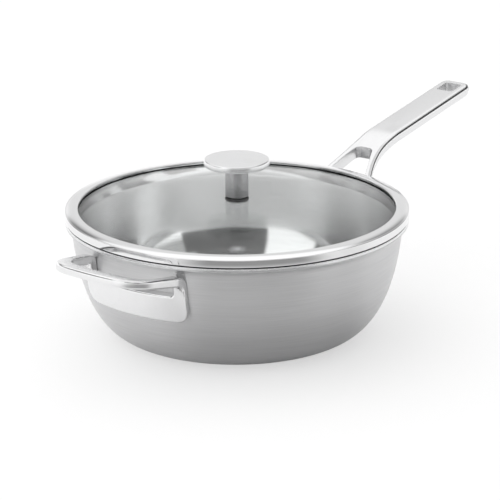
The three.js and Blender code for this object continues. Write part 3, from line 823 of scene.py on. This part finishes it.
class Nodes:
    """Shorthand for building the node tree of one material or of the world."""

    def __init__(self, material):
        material.use_nodes = True
        self.tree = material.node_tree
        self.shader = self.tree.nodes.get("Principled BSDF")
        self.output = self.tree.nodes.get("Material Output")

    def add(self, kind, **settings):
        node = self.tree.nodes.new("ShaderNode" + kind)
        for name, value in settings.items():
            setattr(node, name, value)
        return node

    def link(self, source, target):
        self.tree.links.new(source, target)

    def feed(self, sockets, *values):
        """Sets each socket to a number or tuple, or links it to another node's output."""
        for socket, value in zip(sockets, values):
            if isinstance(value, (int, float, tuple)):
                socket.default_value = value
            else:
                self.link(value, socket)

    def math(self, operation, *values):
        node = self.add("Math", operation=operation)
        self.feed(node.inputs, *values)
        return node.outputs[0]

    def vector(self, operation, *values):
        node = self.add("VectorMath", operation=operation)
        self.feed(node.inputs, *values)
        return node.outputs["Value" if operation in ("LENGTH", "DOT_PRODUCT") else "Vector"]

    def combine(self, x, y, z):
        node = self.add("CombineXYZ")
        self.feed(node.inputs, x, y, z)
        return node.outputs[0]

    def split(self, vector):
        node = self.add("SeparateXYZ")
        self.link(vector, node.inputs[0])
        return node.outputs

    def place(self):
        """Coordinates of the object itself, in metres."""
        return self.add("TexCoord").outputs["Object"]

    def noise(self, vector, scale, detail, roughness=0.5):
        node = self.add("TexNoise")
        node.inputs["Scale"].default_value = scale
        node.inputs["Detail"].default_value = detail
        node.inputs["Roughness"].default_value = roughness
        self.link(vector, node.inputs["Vector"])
        return node.outputs["Fac"]

    def ranged(self, value, low, high, to_low, to_high):
        node = self.add("MapRange")
        self.feed(node.inputs, value, low, high, to_low, to_high)
        return node.outputs[0]

    def eased(self, value, low, high):
        """0 at low and 1 at high, with a smooth start and end."""
        node = self.add("MapRange", interpolation_type="SMOOTHSTEP")
        ends = (high, low, 1, 0) if low > high else (low, high, 0, 1)
        self.feed(node.inputs, value, *ends)
        return node.outputs[0]

    def mixed(self, share, a, b):
        node = self.add("Mix")
        self.link(share, node.inputs[0])
        self.feed(node.inputs[2:4], a, b)
        return node.outputs[0]

    def seen(self):
        """1 for what the camera sees directly or through glass alone, and 0 for other rays."""
        path = self.add("LightPath")
        through = self.math("LESS_THAN", path.outputs["Glossy Depth"], 0.5)
        through = self.math("MULTIPLY", path.outputs["Is Transmission Ray"], through)
        return self.math("MAXIMUM", path.outputs["Is Camera Ray"], through)

    def mix_shaders(self, share, first, second):
        node = self.add("MixShader")
        self.feed(node.inputs, share, first.outputs[0], second.outputs[0])
        self.link(node.outputs[0], self.output.inputs["Surface"])

    def ramp(self, value, dark, light, low=NOISE_LOW, high=NOISE_HIGH):
        node = self.add("ValToRGB")
        for element, position, colour in zip(node.color_ramp.elements, (low, high), (dark, light)):
            element.position = position
            element.color = (*colour, 1)
        self.link(value, node.inputs[0])
        return node.outputs[0]

    def bump(self, height, strength, distance):
        node = self.add("Bump")
        node.inputs["Strength"].default_value = strength
        node.inputs["Distance"].default_value = distance
        self.link(height, node.inputs["Height"])
        self.link(node.outputs[0], self.shader.inputs["Normal"])


def grain_vector(nodes, lay, along, across):
    """Coordinates that run slowly along the brushing and fast across it.
    lay is round, for brushing about Z, or along, for brushing down the X axis."""
    place = nodes.place()
    if lay == "along":
        return nodes.vector("MULTIPLY", place, (along, across, across))
    flat = nodes.vector("MULTIPLY", place, LEVEL)
    around_x, around_y, _ = nodes.split(nodes.vector("NORMALIZE", flat))
    rise = nodes.math("ADD", nodes.vector("LENGTH", flat), nodes.split(place)[2])
    return nodes.combine(
        nodes.math("MULTIPLY", around_x, along),
        nodes.math("MULTIPLY", around_y, along),
        nodes.math("MULTIPLY", rise, across),
    )


def steel(name, lay, shade, rough, anisotropy, grain, streak, dull=None, upper=None):
    """Brushed steel. grain is the width of the brush lines in metres, and streak is the share by which
    they darken and lighten the shade. dull, where given, is two X limits and a half width in metres,
    within which the steel is less smooth. upper, where given, is two heights in metres between which
    the roughness changes, and the roughness above them."""
    material = bpy.data.materials.new(name)
    nodes = Nodes(material)
    shader = nodes.shader
    shader.inputs["Metallic"].default_value = 1
    shader.inputs["Anisotropic"].default_value = anisotropy
    if lay == "round":
        shader.inputs["Anisotropic Rotation"].default_value = QUARTER_TURN
        tangent = nodes.add("Tangent", direction_type="RADIAL", axis="Z")
        nodes.link(tangent.outputs[0], shader.inputs["Tangent"])
    line_vector = grain_vector(nodes, lay, LINE_RUN[lay], 1 / grain)
    lines = nodes.noise(line_vector, scale=1, detail=3, roughness=0.6)
    band_vector = grain_vector(nodes, lay, BAND_RUN[lay], BAND_FINENESS / grain)
    bands = nodes.noise(band_vector, scale=1, detail=2)
    pattern = nodes.math(
        "ADD",
        nodes.math("MULTIPLY", lines, LINE_SHARE),
        nodes.math("MULTIPLY", bands, 1 - LINE_SHARE),
    )
    dark = tuple(c * (1 - streak) for c in shade)
    light = tuple(min(1, c * (1 + streak)) for c in shade)
    nodes.link(nodes.ramp(pattern, dark, light), shader.inputs["Base Color"])
    roughness = nodes.ranged(
        pattern, NOISE_LOW, NOISE_HIGH, rough * (1 + ROUGH_SPREAD), rough * (1 - ROUGH_SPREAD)
    )
    if dull:
        low, high, half = dull
        x, y, _ = nodes.split(nodes.place())
        side = nodes.math("ABSOLUTE", y)
        within = nodes.eased(x, low - DULL_FADE, low)
        within = nodes.math("MULTIPLY", within, nodes.eased(x, high + DULL_FADE, high))
        within = nodes.math("MULTIPLY", within, nodes.eased(side, half + DULL_FADE, half))
        roughness = nodes.mixed(within, roughness, DULL_ROUGH)
    if upper:
        low, high, upper_rough = upper
        above = nodes.eased(nodes.split(nodes.place())[2], low, high)
        roughness = nodes.mixed(above, roughness, upper_rough)
    nodes.link(roughness, shader.inputs["Roughness"])
    nodes.bump(lines, LINE_BUMP, BUMP_DEPTH)
    return material


def silicone(name):
    material = bpy.data.materials.new(name)
    nodes = Nodes(material)
    specks = nodes.noise(nodes.place(), SPECK_SCALE, detail=3)
    colour = nodes.ramp(specks, SILICONE_DARK, SILICONE_LIGHT, SPECK_LOW, SPECK_HIGH)
    nodes.link(colour, nodes.shader.inputs["Base Color"])
    roughness = nodes.ranged(specks, NOISE_LOW, NOISE_HIGH, *SILICONE_ROUGH)
    nodes.link(roughness, nodes.shader.inputs["Roughness"])
    nodes.bump(specks, SPECK_BUMP, BUMP_DEPTH)
    return material


def glass(name):
    material = bpy.data.materials.new(name)
    nodes = Nodes(material)
    shader = nodes.shader
    shader.inputs["Transmission Weight"].default_value = 1
    shader.inputs["IOR"].default_value = GLASS_IOR
    haze = nodes.noise(nodes.place(), HAZE_SCALE, detail=3)
    nodes.link(nodes.ramp(haze, GLASS_DARK, GLASS_LIGHT), shader.inputs["Base Color"])
    nodes.link(nodes.ranged(haze, HAZE_LOW, HAZE_HIGH, 0.0, HAZE_ROUGH), shader.inputs["Roughness"])
    clear = nodes.add("BsdfTransparent")
    clear.inputs["Color"].default_value = GLASS_SHADOW
    nodes.mix_shaders(nodes.add("LightPath").outputs["Is Shadow Ray"], shader, clear)
    return material


brushed = steel(
    "brushed_steel",
    "round",
    shade=(0.62, 0.62, 0.625),
    rough=0.38,
    anisotropy=0.92,
    grain=0.0009,
    streak=0.05,
)
inner_brushed = steel(
    "brushed_steel_inside",
    "round",
    shade=(0.92, 0.92, 0.925),
    rough=0.08,
    anisotropy=0.2,
    grain=0.0009,
    streak=0.05,
    upper=(0.042, 0.048, 0.22),
)
satin_long = steel(
    "satin_steel_long",
    "along",
    shade=(0.76, 0.76, 0.765),
    rough=0.2,
    anisotropy=0.4,
    grain=0.0006,
    streak=0.03,
    dull=[size * MM for size in (hole_near, hole_far, hole_half)],
)
satin_loop = steel(
    "satin_steel_loop",
    "along",
    shade=(0.8, 0.8, 0.805),
    rough=0.18,
    anisotropy=0.4,
    grain=0.0006,
    streak=0.03,
)
satin_round = steel(
    "satin_steel_round",
    "round",
    shade=(0.84, 0.84, 0.845),
    rough=0.22,
    anisotropy=0.6,
    grain=0.0006,
    streak=0.03,
)
stem_steel = steel(
    "polished_steel_stem",
    "round",
    shade=(0.5, 0.5, 0.505),
    rough=0.2,
    anisotropy=0.6,
    grain=0.0006,
    streak=0.03,
)
polished = steel(
    "polished_steel",
    "round",
    shade=(0.8, 0.8, 0.805),
    rough=0.08,
    anisotropy=0.0,
    grain=0.0006,
    streak=0.015,
)
aluminium = steel(
    "core_aluminium",
    "round",
    shade=(0.75, 0.755, 0.76),
    rough=0.2,
    anisotropy=0.5,
    grain=0.0007,
    streak=0.05,
)
rubber = silicone("silicone")
clear_glass = glass("lid_glass")


# Pieces

def piece(obj, node, body, material):
    obj.data.materials.clear()
    obj.data.materials.append(material)
    obj.data.shade_smooth()
    obj.data.set_sharp_from_angle(angle=SHARP_EDGE)
    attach(obj, body)
    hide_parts(node)
    return obj


piece(pan_layer("outer_layer_fine", 0, OUTER_LAYER), "pan_outer_layer", "pan", brushed)
piece(pan_layer("core_fine", core_from, core_to), "pan_core", "pan", aluminium)
inner_layer = pan_layer("inner_layer_fine", inner_from, pan_wall)
piece(inner_layer, "pan_inner_layer", "pan", inner_brushed)
handles = [
    piece(long_handle("long_handle_fine"), "long_handle", "pan", satin_long),
    piece(helper_handle("helper_handle_fine"), "helper_handle", "pan", satin_loop),
]
for welded in handles:
    weighted = welded.modifiers.new("weighted_normals", "WEIGHTED_NORMAL")
    weighted.keep_sharp = True
piece(seat_ring("seat_ring_fine"), "lid_seat_ring", "seat_ring", rubber)
piece(lid_rim("rim_fine"), "lid_rim", "lid", polished)
piece(lid_gasket("gasket_fine"), "lid_gasket", "lid", rubber)
piece(lid_glass("glass_fine"), "lid_glass", "lid", clear_glass)
piece(knob_cap("knob_cap_fine"), "knob_cap", "lid", satin_round)
piece(knob_stem("knob_stem_fine"), "knob_stem", "lid", stem_steel)
piece(knob_screw("knob_screw_fine"), "knob_screw", "lid", polished)
washers = [
    ("knob_upper_washer", STEM_RADIUS - UPPER_WASHER_INSET, dome_top, STEM_GAP, "silicone", rubber),
    ("knob_bush", GLASS_HOLE - BUSH_PLAY, lower_seat, dome_top - lower_seat, "silicone", rubber),
    ("knob_lower_washer", washer_radius, steel_washer_top, WASHER_THICKNESS, "silicone", rubber),
    ("knob_steel_washer", STEEL_WASHER_RADIUS, head_top, STEEL_WASHER, "polished_steel", polished),
]
for node, outer, bottom, height, slot, material in washers:
    piece(washer(node + "_fine", screw_hole, outer, bottom, height), node, "lid", material)


# Floor, world and camera

VIEW_ALONG = (0.788011, 0.615661)  # level direction of the photograph's view
CAMERA_PLACE = (-1.4125, -1.1158, 0.6527)
CAMERA_PITCH = math.radians(18.206)  # below level
CAMERA_ROLL = math.radians(-0.287)
CAMERA_LENS = 180.43
CAMERA_SENSOR = 36
CAMERA_REACH = 50

FLOOR_HALF = 6000
FLOOR_DROP = 0.2  # below the base
FLOOR_TONES = (0.95, 0.97)
FLOOR_ROUGH = 0.9
FLOOR_SHEEN = 0.1
FLOOR_WHITE = 0.6  # share of plain white in the floor as the camera sees it
# Painted shade on the floor that shows only in reflections, on the camera's side: the pan's shadow near
# its base, and a darker floor further out in front. Each row lies over those before it: middle azimuth,
# half width and softness in degrees, two distances in metres between which the tone sets in, and the
# tone
REFLECTED_FLOOR_SHADE = [
    (20, 50, 20, 0.09, 0.13, 0.62),
    (20, 50, 20, 0.14, 0.22, 0.9),
    (10, 37, 13, 0.22, 0.4, 0.31),
]


def across_view(right, away, up):
    """Turns a direction as the camera sees it into the model's axes."""
    return (
        right * VIEW_ALONG[1] + away * VIEW_ALONG[0],
        -right * VIEW_ALONG[0] + away * VIEW_ALONG[1],
        up,
    )


def floor():
    corners = [(-1, -1), (1, -1), (1, 1), (-1, 1)]
    verts = [(x * FLOOR_HALF, y * FLOOR_HALF, -FLOOR_DROP) for x, y in corners]
    obj = mesh_object("floor", verts, [(0, 1, 2, 3)])
    material = bpy.data.materials.new("floor")
    nodes = Nodes(material)
    shader = nodes.shader
    shader.inputs["Roughness"].default_value = FLOOR_ROUGH
    shader.inputs["Specular IOR Level"].default_value = FLOOR_SHEEN
    place = nodes.place()
    tone = nodes.ranged(nodes.noise(place, scale=3, detail=2), NOISE_LOW, NOISE_HIGH, *FLOOR_TONES)
    glossy = nodes.add("LightPath").outputs["Is Glossy Ray"]
    direction = nodes.vector("NORMALIZE", place)
    distance = nodes.vector("LENGTH", place)
    # Each row darkens the floor's colour for glossy rays alone: painted shade in the floor's reflection
    for middle, half, soft, near, far, dark in REFLECTED_FLOOR_SHADE:
        middle, half, soft = (math.radians(v) for v in (middle, half, soft))
        towards = across_view(math.sin(middle), -math.cos(middle), 0.0)
        turn = nodes.math("ARCCOSINE", nodes.vector("DOT_PRODUCT", direction, towards))
        mask = nodes.math("MULTIPLY", nodes.eased(turn, half + soft, half - soft), glossy)
        mask = nodes.math("MULTIPLY", mask, nodes.eased(distance, near, far))
        tone = nodes.mixed(mask, tone, dark)
    nodes.link(tone, shader.inputs["Base Color"])
    white = nodes.add("Emission")
    white.inputs["Strength"].default_value = 1.0
    nodes.mix_shaders(nodes.math("MULTIPLY", nodes.seen(), FLOOR_WHITE), shader, white)
    obj.data.materials.append(material)


# Studio panels as seen from the pan, each over those before it: middle azimuth and half width in
# degrees, with 0 towards the camera's side and 90 to its right, lowest and highest elevation,
# softness of the edges, brightness. A half width of 200 goes all the way round.
PANELS = [
    (0, 200, 54, 90, 8, 1.15),
    (-80, 100, 44, 90, 6, 1.3),
    (0, 200, -40, 19, 4, 1.3),
    (-143, 30, 31, 90, 2, 1.25),
    (148, 33, 36, 90, 2, 1.25),
    (180, 12, 33, 90, 2, 1.25),
    (-150, 32, -40, 16, 4, 1.3),
    (150, 32, -40, 16, 4, 1.0),
    (180, 12, -40, 34, 3, 0.87),
    (180, 15, -40, 5, 4, 1.1),
    (117, 36, 24, 50, 5, 0.05),
    (60, 24, 20, 45, 3, 0.4),
    (10, 34, 15.5, 30, 1.5, 0.06),
    (-76, 12, 15.5, 30, 1.5, 0.1),
    (-44, 20, 12, 72, 2, 1.1),
    (0, 200, 68, 90, 5, 0.8),
]
STUDIO = 0.1  # brightness between the panels
FILL = 1.85  # light on matt surfaces, where it is strongest; it fades to all sides
FILL_FROM = (-0.4, 0.3)  # level part of the direction that it comes from, to the right and away
ZENITH = math.pi / 2


def world():
    made = bpy.data.worlds.new("studio")
    scene.world = made
    nodes = Nodes(made)
    ray = nodes.add("TexCoord").outputs["Generated"]
    level = nodes.vector("NORMALIZE", nodes.vector("MULTIPLY", ray, LEVEL))
    elevation = nodes.math("ARCSINE", nodes.split(ray)[2])
    light = STUDIO
    camera_side = math.atan2(VIEW_ALONG[1], VIEW_ALONG[0]) + math.pi
    for middle, half, low, high, soft, bright in PANELS:
        angle = camera_side + math.radians(middle)
        towards = (math.cos(angle), math.sin(angle), 0.0)
        turn = nodes.math("ARCCOSINE", nodes.vector("DOT_PRODUCT", level, towards))
        half, low, high, soft = (math.radians(v) for v in (half, low, high, soft))
        mask = nodes.eased(turn, half + soft, half - soft)
        if high < ZENITH:
            mask = nodes.math("MULTIPLY", mask, nodes.eased(elevation, high + soft, high - soft))
        mask = nodes.math("MULTIPLY", mask, nodes.eased(elevation, low - soft, low + soft))
        light = nodes.mixed(mask, light, bright)
    background = nodes.tree.nodes["Background"]
    background.inputs["Color"].default_value = (1.0, 1.0, 1.0, 1.0)
    diffuse = nodes.add("LightPath").outputs["Is Diffuse Ray"]
    towards = Vector(across_view(*FILL_FROM, 1)).normalized()
    fill = nodes.math("MAXIMUM", nodes.vector("DOT_PRODUCT", ray, tuple(towards)), 0)
    light = nodes.mixed(diffuse, light, nodes.math("MULTIPLY", fill, FILL))
    nodes.link(nodes.mixed(nodes.seen(), light, 1.0), background.inputs["Strength"])
    made.cycles.sampling_method = "NONE"


def camera():
    data = bpy.data.cameras.new("camera")
    data.lens = CAMERA_LENS
    data.sensor_width = CAMERA_SENSOR
    data.clip_end = CAMERA_REACH
    level = math.cos(CAMERA_PITCH)
    forward = Vector((VIEW_ALONG[0] * level, VIEW_ALONG[1] * level, -math.sin(CAMERA_PITCH)))
    right = forward.cross(Vector((0, 0, 1))).normalized()
    up = right.cross(forward)
    turn = Matrix((right, up, -forward)).transposed() @ Matrix.Rotation(CAMERA_ROLL, 3, "Z")
    obj = bpy.data.objects.new("camera", data)
    scene.collection.objects.link(obj)
    obj.matrix_world = Matrix.Translation(CAMERA_PLACE) @ turn.to_4x4()
    scene.camera = obj


floor()
world()
camera()
scene.view_settings.view_transform = "Standard"
